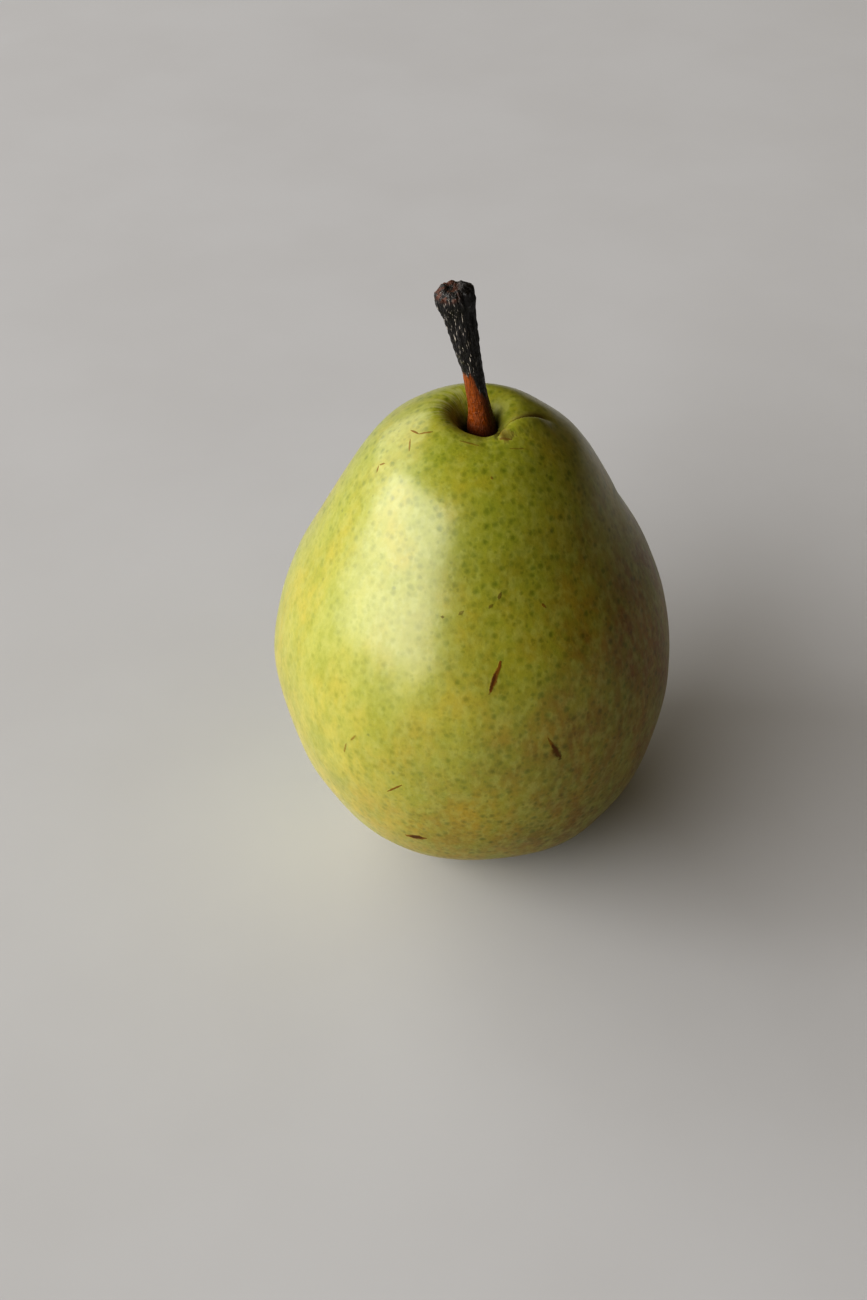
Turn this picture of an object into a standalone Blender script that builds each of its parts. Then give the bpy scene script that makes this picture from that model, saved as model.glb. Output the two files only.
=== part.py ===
"""A ripe green pear, as picked, standing upright on its calyx end.

Run it with  blender --background --python part.py  or from Blender's text editor.

Frame: metres, +Z up. The origin lies on the surface that the fruit stands on, under the
middle of the fruit. The fruit's core line runs up from it, and -Y is the fruit's front.

Pieces: the fruit, which is one solid, the woody stem that is rooted in a socket in its top,
and what dried of the flower in the pit underneath: five sepals round a tuft of stamens.
"""

import math

import bmesh
import bpy
from mathutils import Matrix, Vector

MM = 0.001
GAP = 0.3 * MM  # clear space between two pieces that touch on the real fruit

# --- driving dimensions -------------------------------------------------------------------

FRUIT_WIDTH = 75.8 * MM
FRUIT_HEIGHT = 93.6 * MM  # up to the lip round the stem; the stem stands above it

FRUIT_SIDES = 48  # segments round the fruit
STEPS_PER_SPAN = 2  # rings between two points of the outline
STEM_SIDES = 20
STEM_RINGS = 26

# The outline of the right half, as shares of half the width and of the height. It starts on
# the axis in the calyx pit, runs out over the resting rim and ends on the axis under the stem.
CALYX_PIT = [(0.0, 0.089), (0.048, 0.087), (0.077, 0.079), (0.085, 0.065), (0.098, 0.052)]
CALYX_BASIN = [(0.140, 0.041), (0.195, 0.027), (0.250, 0.0091)]
RESTING_RIM = [(0.285, 0.0005), (0.325, -0.0022), (0.370, 0.0016), (0.427, 0.0091)]
BELLY = [
    (0.501, 0.023), (0.575, 0.042), (0.649, 0.065), (0.720, 0.092), (0.784, 0.121),
    (0.835, 0.151), (0.905, 0.214), (0.952, 0.28), (0.987, 0.35), (1.000, 0.424),
    (0.989, 0.494), (0.953, 0.565), (0.889, 0.639),
]  # fmt: skip
NECK = [(0.800, 0.711), (0.694, 0.789), (0.635, 0.832), (0.568, 0.879), (0.484, 0.926)]
SHOULDER = [(0.385, 0.961), (0.303, 0.983), (0.232, 0.997), (0.180, 1.0), (0.137, 0.993)]
STEM_CAVITY = [(0.104, 0.978), (0.075, 0.962), (0.037, 0.954), (0.0, 0.954)]
OUTLINE = CALYX_PIT + CALYX_BASIN + RESTING_RIM + BELLY + NECK + SHOULDER + STEM_CAVITY

# A grown fruit isn't quite round: (waves round it, size as a share of the radius, phase).
OUT_OF_ROUND = [(2, 0.008, 0.0), (3, 0.006, 0.0), (4, 0.003, 0.0)]
LOBES = 5  # swellings of the resting rim, one under each seed chamber
LOBE_HEIGHT = 0.30 * MM
LOBE_RADIUS = 12.3 * MM
LOBE_SPREAD = 3.6 * MM
LEAN = 0.5 * MM  # how far the belly sits to one side of the core line
LIP_DIP_PLACE = Vector((0.6, -6.5)) * MM  # where the lip round the stem dips, seen from above
LIP_DIP_DEPTH = 1.3 * MM
LIP_DIP_SPREAD = 6.0 * MM

# The stem's middle line from its buried root to its tip, and its radius along the way.
STEM_LINE = [
    (1.3, 0.0, 85.0), (0.8, 0.0, 89.0), (0.25, 0.15, 93.5), (-0.45, 0.4, 97.5),
    (-1.15, 0.6, 101.5), (-2.0, 0.8, 105.0), (-2.8, 0.95, 108.7), (-3.5, 1.1, 112.0),
    (-4.05, 1.2, 114.3), (-4.35, 1.25, 116.1),
]  # fmt: skip
STEM_RADII = [2.2, 2.75, 2.05, 1.8, 1.8, 2.1, 2.35, 2.7, 3.25, 3.15]
STEM_LINE_STEPS = 6  # points between two of the middle line's own
STEM_RIDGES = 9  # dried ribs of the swollen tip
STEM_RIDGE_DEPTH = 0.06  # as a share of the radius
STEM_RIDGE_START = 0.55  # as a share of the stem's length
STEM_TIP_DOME = 0.8 * MM
STEM_TIP_RIM_WIDTH, STEM_TIP_RIM_RISE = 0.72, 0.7  # of the last ring, and of the dome
SOCKET_SHARE = 0.30  # how much of the stem's length the socket's cutter follows

# One sepal's middle line, as (distance from the core line, height), and its half width.
SEPALS = 5
SEPAL_LINE = [(2.2, 6.9), (2.4, 5.2), (2.9, 3.6), (4.0, 2.4), (5.2, 1.9), (6.3, 1.9)]
SEPAL_HALF_WIDTHS = [0.75, 0.95, 1.25, 1.20, 0.80, 0.22]
SEPAL_THICKNESS = 0.42 * MM
SEPAL_TIP_THINNING = 0.5  # how much of the thickness is lost towards the tip
SEPAL_CURL = 0.35  # how far the edges curl, as a share of the half width
SEPAL_STEPS, SEPAL_LINE_STEPS = 11, 4
SEPAL_FIRST_TURN = math.radians(18)
SEPAL_TURN_JITTER = [0.0, 5.0, -4.0, 3.0, -6.0]  # degrees
SEPAL_SPREAD_JITTER = [1.00, 0.93, 1.04, 0.96, 0.90]

# The tuft of dried stamens and styles, turned: (radius, height) from the pit down to its tip.
TUFT_OUTLINE = [(0.9, 7.8), (1.15, 7.2), (1.05, 5.6), (1.35, 4.2), (1.25, 3.2), (0.6, 2.7)]
TUFT_SIDES, TUFT_STEPS = 15, 3
TUFT_FLUTES = 5
TUFT_FLUTE_DEPTH = 0.10

FINE_STEPS = 8  # readings between two given values of a radius or a width

# name: (base colour, roughness, metallic)
FINISHES = {
    "pear_skin": ((0.50, 0.52, 0.10), 0.42, 0.0),
    "stem_bark": ((0.08, 0.04, 0.025), 0.50, 0.0),
    "dried_calyx": ((0.11, 0.06, 0.03), 0.75, 0.0),
}


# --- helpers ------------------------------------------------------------------------------


def smooth_line(points, steps):
    """Points on a Catmull-Rom curve through the given ones, steps to each span."""
    knots = [Vector(p) for p in points]
    padded = [2 * knots[0] - knots[1], *knots, 2 * knots[-1] - knots[-2]]
    line = []
    for before, start, end, after in zip(padded, padded[1:], padded[2:], padded[3:]):
        for step in range(steps):
            t = step / steps
            line.append(
                0.5
                * (
                    2 * start
                    + (end - before) * t
                    + (2 * before - 5 * start + 4 * end - after) * t**2
                    + (3 * start - before - 3 * end + after) * t**3
                )
            )
    line.append(knots[-1])
    return line


def value_along(values, share):
    """The smooth value at a share, from 0 to 1, of the way along a list."""
    fine = [v.x for v in smooth_line([(value, 0.0) for value in values], FINE_STEPS)]
    place = share * (len(fine) - 1)
    low = min(int(place), len(fine) - 2)
    return fine[low] + (fine[low + 1] - fine[low]) * (place - low)


def finish(name):
    """The Principled material of that name, made once."""
    if name in bpy.data.materials:
        return bpy.data.materials[name]
    colour, roughness, metallic = FINISHES[name]
    made = bpy.data.materials.new(name)
    made.use_nodes = True
    shader = made.node_tree.nodes["Principled BSDF"]
    shader.inputs["Base Color"].default_value = (*colour, 1.0)
    shader.inputs["Roughness"].default_value = roughness
    shader.inputs["Metallic"].default_value = metallic
    made.diffuse_color = (*colour, 1.0)
    return made


def loft(name, rings, first_pole, last_pole, material=None):
    """One closed object from rings of points, each closed over at the end by a pole point."""
    shape = bmesh.new()
    loops = [[shape.verts.new(point) for point in ring] for ring in rings]
    sides = len(loops[0])
    for lower, upper in zip(loops, loops[1:]):
        for i in range(sides):
            j = (i + 1) % sides
            shape.faces.new((lower[i], lower[j], upper[j], upper[i]))
    for ring, pole in ((loops[0], first_pole), (loops[-1], last_pole)):
        tip = shape.verts.new(pole)
        for i in range(sides):
            shape.faces.new((ring[i], ring[(i + 1) % sides], tip))
    bmesh.ops.recalc_face_normals(shape, faces=shape.faces)
    mesh = bpy.data.meshes.new(name)
    shape.to_mesh(mesh)
    shape.free()
    mesh.shade_smooth()
    made = bpy.data.objects.new(name, mesh)
    bpy.context.scene.collection.objects.link(made)
    if material:
        mesh.materials.append(finish(material))
    return made


def clear_scene():
    for old in list(bpy.data.objects):
        bpy.data.objects.remove(old, do_unlink=True)


# --- the fruit ----------------------------------------------------------------------------


def skin_point(radius, height, turn):
    """A point of the skin. radius and height are in metres, and turn goes round the fruit."""
    wobble = sum(size * math.sin(waves * turn + phase) for waves, size, phase in OUT_OF_ROUND)
    reach = math.hypot(radius - LOBE_RADIUS, height) / LOBE_SPREAD
    lobe = LOBE_HEIGHT * math.exp(-(reach**2)) * math.cos(LOBES * turn)
    lean = LEAN * math.sin(2.0 * math.pi * height / FRUIT_HEIGHT)
    out = radius * (1.0 + wobble)
    plan = Vector((out * math.cos(turn) + lean, out * math.sin(turn)))
    if height > FRUIT_HEIGHT / 2:
        away = (plan - LIP_DIP_PLACE).length / LIP_DIP_SPREAD
        height -= LIP_DIP_DEPTH * math.exp(-(away**2))
    # The rim is pressed flat where it would sink under the surface that it stands on.
    return Vector((*plan, max(height - lobe, 0.0)))


def make_fruit():
    """The whole fruit as one loft, with the stem's socket cut into its top."""
    half = FRUIT_WIDTH / 2
    outline = [
        Vector((p.x * half, p.y * FRUIT_HEIGHT)) for p in smooth_line(OUTLINE, STEPS_PER_SPAN)
    ]
    turns = [2 * math.pi * i / FRUIT_SIDES for i in range(FRUIT_SIDES)]
    rings = [[skin_point(p.x, p.y, turn) for turn in turns] for p in outline[1:-1]]
    poles = [skin_point(0.0, p.y, 0.0) for p in (outline[0], outline[-1])]
    fruit = loft("fruit", rings, *poles, "pear_skin")
    cut = fruit.modifiers.new("stem_socket", "BOOLEAN")
    cut.operation = "DIFFERENCE"
    cut.solver = "EXACT"
    cut.object = make_socket_cutter()
    return fruit


# --- the stem -----------------------------------------------------------------------------


def stem_rings(grow, first, last):
    """Rings round the stem's middle line between two shares of its length, grown by grow."""
    line = smooth_line(STEM_LINE, STEM_LINE_STEPS)
    count = max(3, round(STEM_RINGS * (last - first)))
    rings = []
    for k in range(count + 1):
        share = first + (last - first) * k / count
        place = share * (len(line) - 1)
        low = min(int(place), len(line) - 2)
        middle = line[low].lerp(line[low + 1], place - low) * MM
        along = (line[low + 1] - line[low]).normalized()
        across = along.cross(Vector((0.0, 1.0, 0.0))).normalized()
        other = along.cross(across)
        radius = value_along(STEM_RADII, share) * MM + grow
        ribbed = max(0.0, share - STEM_RIDGE_START) / (1.0 - STEM_RIDGE_START)
        ring = []
        for i in range(STEM_SIDES):
            turn = 2 * math.pi * i / STEM_SIDES
            rib = 1.0 + STEM_RIDGE_DEPTH * ribbed * math.cos(STEM_RIDGES * turn)
            ring.append(middle + radius * rib * (math.cos(turn) * across + math.sin(turn) * other))
        rings.append(ring)
    return rings


def middle_of(ring):
    return sum(ring, Vector()) / len(ring)


def make_stem():
    """The woody stem, from its root inside the fruit to its swollen, ribbed tip."""
    rings = stem_rings(0.0, 0.0, 1.0)
    tip = middle_of(rings[-1])
    upward = (tip - middle_of(rings[-2])).normalized()
    rim_centre = tip + STEM_TIP_RIM_RISE * STEM_TIP_DOME * upward
    rings.append([rim_centre + STEM_TIP_RIM_WIDTH * (point - tip) for point in rings[-1]])
    return loft("stem", rings, middle_of(rings[0]), tip + STEM_TIP_DOME * upward, "stem_bark")


def make_socket_cutter():
    """The stem's own root, grown by the gap, which cuts its socket into the fruit."""
    rings = stem_rings(GAP, 0.0, SOCKET_SHARE)
    floor = [point - Vector((0.0, 0.0, GAP)) for point in rings[0]]
    cutter = loft("stem_socket_cutter", [floor, *rings], middle_of(floor), middle_of(rings[-1]))
    cutter.hide_render = True
    cutter.display_type = "WIRE"
    return cutter


# --- the dried flower underneath ----------------------------------------------------------


def make_sepal(number):
    """One dried sepal: a narrow curved leaf that stands in the pit's rim and bends outwards."""
    spread = SEPAL_SPREAD_JITTER[number]
    root = SEPAL_LINE[0][0]
    line = smooth_line([(root + (r - root) * spread, 0.0, z) for r, z in SEPAL_LINE], SEPAL_LINE_STEPS)
    count = len(line)
    sideways = Vector((0.0, 1.0, 0.0))
    rings = []
    for step in range(SEPAL_STEPS + 1):
        share = step / SEPAL_STEPS
        place = min(int(share * (count - 1)), count - 2)
        along = (line[place + 1] - line[place]).normalized()
        face = sideways.cross(along)
        middle = line[min(round(share * (count - 1)), count - 1)] * MM
        half = value_along(SEPAL_HALF_WIDTHS, share) * MM
        thick = SEPAL_THICKNESS / 2 * (1.0 - SEPAL_TIP_THINNING * share)
        curl = SEPAL_CURL * half  # the two edges curl towards the middle of the pit
        profile = [(-1.0, 0.0), (-0.5, -1.0), (0.0, -1.0), (0.5, -1.0)]
        profile += [(1.0, 0.0), (0.5, 1.0), (0.0, 1.0), (-0.5, 1.0)]
        rings.append(
            [
                middle + sideways * (across * half) + face * (deep * thick + curl * across**2)
                for across, deep in profile
            ]
        )
    sepal = loft(f"sepal_{number + 1}", rings, middle_of(rings[0]), middle_of(rings[-1]), "dried_calyx")
    turn = SEPAL_FIRST_TURN + 2 * math.pi * number / SEPALS
    turn += math.radians(SEPAL_TURN_JITTER[number])
    sepal.matrix_world = Matrix.Rotation(turn, 4, "Z")
    return sepal


def make_tuft():
    """The dried stamens and styles, which stick together as one fluted tuft."""
    rings = []
    for p in smooth_line(TUFT_OUTLINE, TUFT_STEPS):
        ring = []
        for i in range(TUFT_SIDES):
            turn = 2 * math.pi * i / TUFT_SIDES
            radius = p.x * MM * (1.0 + TUFT_FLUTE_DEPTH * math.cos(TUFT_FLUTES * turn))
            ring.append(Vector((radius * math.cos(turn), radius * math.sin(turn), p.y * MM)))
        rings.append(ring)
    return loft("stamen_tuft", rings, middle_of(rings[0]), middle_of(rings[-1]), "dried_calyx")


def main():
    clear_scene()
    make_fruit()
    make_stem()
    for number in range(SEPALS):
        make_sepal(number)
    make_tuft()


main()
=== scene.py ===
# %% [markdown]
# # A green pear, standing on its calyx end
#
# This lesson dresses a measured pear. The frame that is loaded first holds plain solids of the
# right size: the fruit, its stem, five dried sepals and a tuft of stamens. Each is replaced by a
# finer piece in the same place, and each piece gets a material that is mixed from noise and
# distances, so that nothing depends on a picture.
#
# Lengths are in metres, +Z is up, and the fruit's front is towards -Y.

# %% Load the frame
import math

import bpy
import numpy as np
from mathutils import Euler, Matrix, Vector, noise


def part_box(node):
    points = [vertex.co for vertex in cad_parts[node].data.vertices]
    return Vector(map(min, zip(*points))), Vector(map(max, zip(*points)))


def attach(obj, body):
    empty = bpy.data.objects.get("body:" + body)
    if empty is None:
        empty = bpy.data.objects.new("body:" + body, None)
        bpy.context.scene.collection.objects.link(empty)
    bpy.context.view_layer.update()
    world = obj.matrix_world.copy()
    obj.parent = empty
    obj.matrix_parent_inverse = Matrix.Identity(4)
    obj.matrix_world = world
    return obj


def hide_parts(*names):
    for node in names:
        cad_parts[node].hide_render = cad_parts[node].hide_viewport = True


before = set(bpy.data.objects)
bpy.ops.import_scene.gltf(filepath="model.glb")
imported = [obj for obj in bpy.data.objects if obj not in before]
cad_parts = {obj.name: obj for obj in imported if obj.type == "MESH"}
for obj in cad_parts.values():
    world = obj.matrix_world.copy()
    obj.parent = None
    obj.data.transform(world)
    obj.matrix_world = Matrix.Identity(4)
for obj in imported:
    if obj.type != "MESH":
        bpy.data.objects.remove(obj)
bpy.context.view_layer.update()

MM = 0.001
fruit_low, fruit_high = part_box("fruit")

# %% [markdown]
# ## Camera
#
# The fruit is seen from in front and well above, as a person sees it on a table. A 50 mm lens
# stands a third of a metre away. The camera is turned only about X, so upright things stay
# upright, and it aims a little left of the core line, which puts the fruit right of the middle.

# %% Place the camera
LENS = 50.0  # mm, on a sensor whose long side is 36 mm
LOOK_DOWN = math.radians(40)
CAMERA_DISTANCE = 350.2 * MM
aim = Vector((-7.8, 0.0, 38.8)) * MM

camera_data = bpy.data.cameras.new("table_camera")
camera_data.lens = LENS
camera_data.sensor_width = 36.0
camera_data.clip_start = 10 * MM
camera = bpy.data.objects.new("table_camera", camera_data)
camera.location = aim + CAMERA_DISTANCE * Vector((0.0, -math.cos(LOOK_DOWN), math.sin(LOOK_DOWN)))
camera.rotation_euler = Euler((math.pi / 2 - LOOK_DOWN, 0.0, 0.0))
bpy.context.scene.collection.objects.link(camera)
bpy.context.scene.camera = camera
print("camera at", [round(c / MM) for c in camera.location], "mm")

# %% [markdown]
# ## Light
#
# One wide soft box stands to the left and in front, low, as a window does. Its reflection is the
# tall pale band on the waxy skin, and its shadow falls to the right and back. A dimmer box to the
# left and behind stands for a pale wall, and lights the left edge of the fruit. A dim, warm world
# fills the shadow side, so the right goes brown without going black. The camera itself sees a
# plain grey behind the table. A look with more contrast gives the deep shade of one-sided light.

# %% Soft box and fill
# Lengths in metres. A turn is counted from the front towards the right, so both boxes are left.
LIGHT_DISTANCE = 5.0
LIGHT_COLOUR = (1.0, 0.99, 0.97)
SOFT_BOX_TURN, SOFT_BOX_RISE = math.radians(-61), math.radians(25)
SOFT_BOX_WIDTH, SOFT_BOX_HEIGHT = 7.0, 3.6
SOFT_BOX_WATTS = 355.0
WALL_TURN, WALL_RISE = math.radians(-122), math.radians(27)
WALL_WIDTH, WALL_HEIGHT = 6.0, 4.0
WALL_WATTS = 126.0
FILL_COLOUR = (1.0, 0.76, 0.42)
FILL_STRENGTH = 0.095
BACKDROP_GREY = (0.36, 0.36, 0.365)


def direction(turn, rise):
    """A unit vector, turned from the front (-Y) towards +X and raised above the table."""
    flat = math.cos(rise)
    return Vector((flat * math.sin(turn), -flat * math.cos(turn), math.sin(rise)))


def soft_box(name, turn, rise, width, height, watts):
    """A rectangle of light that faces the fruit."""
    data = bpy.data.lights.new(name, "AREA")
    data.shape = "RECTANGLE"
    data.size, data.size_y = width, height
    data.energy = watts
    data.color = LIGHT_COLOUR
    light = bpy.data.objects.new(name, data)
    towards_light = direction(turn, rise)
    light.location = LIGHT_DISTANCE * towards_light
    light.rotation_euler = towards_light.to_track_quat("Z", "Y").to_euler()
    light.visible_camera = False
    bpy.context.scene.collection.objects.link(light)


soft_box("window", SOFT_BOX_TURN, SOFT_BOX_RISE, SOFT_BOX_WIDTH, SOFT_BOX_HEIGHT, SOFT_BOX_WATTS)
soft_box("pale_wall", WALL_TURN, WALL_RISE, WALL_WIDTH, WALL_HEIGHT, WALL_WATTS)

room = bpy.data.worlds.new("pale_room")
room.use_nodes = True
sky = room.node_tree
fill = sky.nodes["Background"]
fill.inputs["Color"].default_value = (*FILL_COLOUR, 1.0)
fill.inputs["Strength"].default_value = FILL_STRENGTH
backdrop = sky.nodes.new("ShaderNodeBackground")
backdrop.inputs["Color"].default_value = (*BACKDROP_GREY, 1.0)
seen = sky.nodes.new("ShaderNodeLightPath")
either = sky.nodes.new("ShaderNodeMixShader")
sky.links.new(seen.outputs["Is Camera Ray"], either.inputs[0])
sky.links.new(fill.outputs[0], either.inputs[1])
sky.links.new(backdrop.outputs[0], either.inputs[2])
sky.links.new(either.outputs[0], sky.nodes["World Output"].inputs[0])
bpy.context.scene.world = room
bpy.context.scene.view_settings.view_transform = "Standard"
bpy.context.scene.view_settings.look = "High Contrast"
soft_box_area = round(SOFT_BOX_WIDTH * SOFT_BOX_HEIGHT, 1)
print("soft box covers", soft_box_area, "square metres,", LIGHT_DISTANCE, "m away")

# %% [markdown]
# ## Wiring materials
#
# A procedural material is a chain of small nodes. A few helpers keep each recipe short: they add
# a node and feed its sockets, do a sum, fade a value smoothly from one level to another, and lay
# one colour over another. Every recipe measures in millimetres on the piece itself, which is what
# `on_piece` gives, so a pore or a scar has its real size.


# %% Node helpers
def feed(tree, socket, value):
    """Joins a socket to another one, or sets it to a plain value."""
    if isinstance(value, bpy.types.NodeSocket):
        tree.links.new(value, socket)
    elif isinstance(value, (tuple, list, Vector)) and len(socket.default_value) == 4:
        socket.default_value = (*value[:3], 1.0)
    else:
        socket.default_value = value


def add(tree, kind, feeds=(), **settings):
    """A new node. feeds is a dict of socket name or number to a value or another socket."""
    node = tree.nodes.new("ShaderNode" + kind)
    for name, value in settings.items():
        setattr(node, name, value)
    for name, value in dict(feeds).items():
        feed(tree, node.inputs[name], value)
    return node


def sums(tree, operation, *values):
    """One step of arithmetic on plain numbers."""
    return add(tree, "Math", dict(enumerate(values)), operation=operation).outputs[0]


def times(tree, one, other):
    return sums(tree, "MULTIPLY", one, other)


def plus(tree, one, other):
    return sums(tree, "ADD", one, other)


def vector_sums(tree, operation, *values):
    """One step of arithmetic on vectors."""
    node = add(tree, "VectorMath", dict(enumerate(values)), operation=operation)
    return node.outputs["Value" if operation in ("LENGTH", "DISTANCE", "DOT_PRODUCT") else "Vector"]


def fade(tree, value, start, end, low=0.0, high=1.0):
    """Goes smoothly from low, where value is at start, to high, where it is at end."""
    feeds = {"Value": value, "From Min": start, "From Max": end, "To Min": low, "To Max": high}
    return add(tree, "MapRange", feeds, interpolation_type="SMOOTHSTEP").outputs["Result"]


def lay_over(tree, amount, under, over, way="MIX"):
    """Colour over on colour under, by an amount from 0 to 1."""
    node = add(tree, "Mix", data_type="RGBA", blend_type=way)
    feed(tree, node.inputs["Factor"], amount)
    feed(tree, node.inputs[6], under)
    feed(tree, node.inputs[7], over)
    return node.outputs[2]


def on_piece(tree):
    """The place on the piece, in millimetres."""
    place = add(tree, "TexCoord").outputs["Object"]
    return add(tree, "VectorMath", {0: place, "Scale": 1 / MM}, operation="SCALE").outputs[0]


def new_material(name):
    """A material, its tree, its shader and the place on the piece."""
    material = bpy.data.materials.new(name)
    material.use_nodes = True
    tree = material.node_tree
    return material, tree, tree.nodes["Principled BSDF"], on_piece(tree)


def new_group(name, inputs, outputs):
    """A node group with named sockets. Each input is (name, kind, default)."""
    group = bpy.data.node_groups.new(name, "ShaderNodeTree")
    for label, kind, default in inputs:
        socket = group.interface.new_socket(label, in_out="INPUT", socket_type="NodeSocket" + kind)
        socket.default_value = default
    for label, kind in outputs:
        group.interface.new_socket(label, in_out="OUTPUT", socket_type="NodeSocket" + kind)
    given = group.nodes.new("NodeGroupInput").outputs
    out = group.nodes.new("NodeGroupOutput").inputs
    return group, given, out


def use(tree, group, **feeds):
    """Places a group in a tree. Words in a feed's name are joined by _ in place of spaces."""
    node = tree.nodes.new("ShaderNodeGroup")
    node.node_tree = group
    for name, value in feeds.items():
        feed(tree, node.inputs[name.replace("_", " ")], value)
    return node.outputs


# %% [markdown]
# ## Four effects that the materials share
#
# * **mottle** is soft cloudy noise, pushed to one side or the other by two limits. It makes a
#   colour, a roughness or the edge of a stain uneven.
# * **pores** scatters soft dots, through which a pear's skin breathes. They come from a 3-D
#   Voronoi: the skin cuts some cells through the middle and others near the edge, so the dots
#   differ in size as real ones do. The place is shifted a little by noise, which makes each dot
#   ragged, and dots of different cells differ in strength.
# * **fibres** is noise that is stretched along one direction, for wood, dry leaf and pale rays.
# * **stroke** is a soft line between two points, with a wandering edge, for healed scratches.


# %% Mottle
def make_mottle():
    inputs = [("Place", "Vector", (0, 0, 0)), ("Size", "Float", 5.0), ("Detail", "Float", 3.0)]
    inputs += [("From", "Float", 0.4), ("To", "Float", 0.6)]
    group, given, out = new_group("mottle", inputs, [("Mask", "Float")])
    scale = sums(group, "DIVIDE", 1.0, given["Size"])
    feeds = {"Vector": given["Place"], "Scale": scale, "Detail": given["Detail"]}
    cloud = add(group, "TexNoise", feeds).outputs[0]
    feed(group, out["Mask"], fade(group, cloud, given["From"], given["To"]))
    return group


def cloudy(tree, place, size, detail=4.0, low=0.3, high=0.7):
    """Mottle at a place: 0 where the noise is below low, 1 where it is above high."""
    feeds = {"Size": size, "Detail": detail, "From": low, "To": high}
    return use(tree, mottle, Place=place, **feeds)["Mask"]


mottle = make_mottle()
print("made", mottle.name, "with", len(mottle.nodes), "nodes")


# %% Pores
PORE_RAGGEDNESS = 0.6  # mm
PORE_CORE = 0.1  # share of a pore's size that is darkest


def make_pores():
    inputs = [("Place", "Vector", (0, 0, 0)), ("Spacing", "Float", 2.0), ("Size", "Float", 0.5)]
    inputs += [("Faint", "Float", 0.2)]
    group, given, out = new_group("pores", inputs, [("Mask", "Float")])
    scale = sums(group, "DIVIDE", 1.0, given["Spacing"])
    ragged = add(group, "TexNoise", {"Vector": given["Place"], "Scale": 1.6, "Detail": 2.0})
    shift = vector_sums(group, "MULTIPLY", ragged.outputs["Color"], [PORE_RAGGEDNESS] * 3)
    place = vector_sums(group, "ADD", given["Place"], shift)
    cells = add(group, "TexVoronoi", {"Vector": place, "Scale": scale, "Randomness": 1.0})
    distance = times(group, cells.outputs["Distance"], given["Spacing"])
    chance = add(group, "SeparateColor", {0: cells.outputs["Color"]}).outputs[0]
    core = times(group, given["Size"], PORE_CORE)
    dot = fade(group, distance, given["Size"], core)
    # That share of the cells, Faint, has the faintest dots.
    strength = fade(group, chance, given["Faint"], 1.0, 0.4, 1.0)
    feed(group, out["Mask"], times(group, dot, strength))
    return group


pores = make_pores()
print("made", pores.name, "with", len(pores.nodes), "nodes")


# %% Fibres
def make_fibres():
    inputs = [("Place", "Vector", (0, 0, 0)), ("Along", "Float", 6.0), ("Across", "Float", 0.4)]
    inputs += [("From", "Float", 0.4), ("To", "Float", 0.6)]
    group, given, out = new_group("fibres", inputs, [("Mask", "Float")])
    parts = add(group, "SeparateXYZ", {0: given["Place"]}).outputs
    fine = [sums(group, "DIVIDE", part, given["Across"]) for part in parts[:2]]
    fine.append(sums(group, "DIVIDE", parts[2], given["Along"]))
    stretched = add(group, "CombineXYZ", dict(enumerate(fine))).outputs[0]
    strands = add(group, "TexNoise", {"Vector": stretched, "Scale": 1.0, "Detail": 3.0}).outputs[0]
    feed(group, out["Mask"], fade(group, strands, given["From"], given["To"]))
    return group


fibres = make_fibres()
print("made", fibres.name, "with", len(fibres.nodes), "nodes")


# %% Stroke
def make_stroke():
    inputs = [("Place", "Vector", (0, 0, 0)), ("Start", "Vector", (0, 0, 0))]
    inputs += [("End", "Vector", (0, 0, 1)), ("Width", "Float", 1.0), ("Wander", "Float", 0.3)]
    group, given, out = new_group("stroke", inputs, [("Mask", "Float")])
    feeds = {"Vector": given["Place"], "Scale": 1.1, "Detail": 3.0}
    wander = add(group, "TexNoise", feeds).outputs["Color"]
    centred = vector_sums(group, "SUBTRACT", wander, (0.5, 0.5, 0.5))
    feeds = {0: centred, "Scale": given["Wander"]}
    shift = add(group, "VectorMath", feeds, operation="SCALE").outputs[0]
    place = vector_sums(group, "ADD", given["Place"], shift)
    run = vector_sums(group, "SUBTRACT", given["End"], given["Start"])
    reach = vector_sums(group, "SUBTRACT", place, given["Start"])
    along = vector_sums(group, "DOT_PRODUCT", reach, run)
    length = vector_sums(group, "DOT_PRODUCT", run, run)
    share = add(group, "Clamp", {0: sums(group, "DIVIDE", along, length)}).outputs[0]
    feeds = {0: run, "Scale": share}
    nearest = add(group, "VectorMath", feeds, operation="SCALE").outputs[0]
    distance = vector_sums(group, "DISTANCE", reach, nearest)
    # The line has its whole width in the middle and less than half of it at both ends.
    from_middle = sums(group, "ABSOLUTE", sums(group, "SUBTRACT", share, 0.5))
    half = times(group, given["Width"], fade(group, from_middle, 0.5, 0.2, 0.22, 0.5))
    inner = times(group, half, 0.4)
    feed(group, out["Mask"], fade(group, distance, half, inner))
    return group


stroke = make_stroke()
print("made", stroke.name, "with", len(stroke.nodes), "nodes")

# %% [markdown]
# ## Curves for the shapes
#
# The fruit and the stem are both lofts: rings of points, one above the other. A Catmull-Rom curve
# passes through every given point, so an outline can be designed with few points and still come
# out smooth. The rings are then spaced along it, close where the shape turns sharply and wide
# on the belly.


# %% Curve helpers
def smooth_line(points, steps=24):
    """Many points on a Catmull-Rom curve through the given ones."""
    knots = np.array(points, float)
    padded = np.vstack([2 * knots[0] - knots[1], knots, 2 * knots[-1] - knots[-2]])
    t = np.linspace(0, 1, steps, endpoint=False)[:, None]
    spans = []
    for before, start, end, after in zip(padded, padded[1:], padded[2:], padded[3:]):
        bend = (2 * before - 5 * start + 4 * end - after) * t**2
        twist = (3 * start - before - 3 * end + after) * t**3
        spans.append(0.5 * (2 * start + (end - before) * t + bend + twist))
    return np.vstack([*spans, knots[-1:]])


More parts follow.
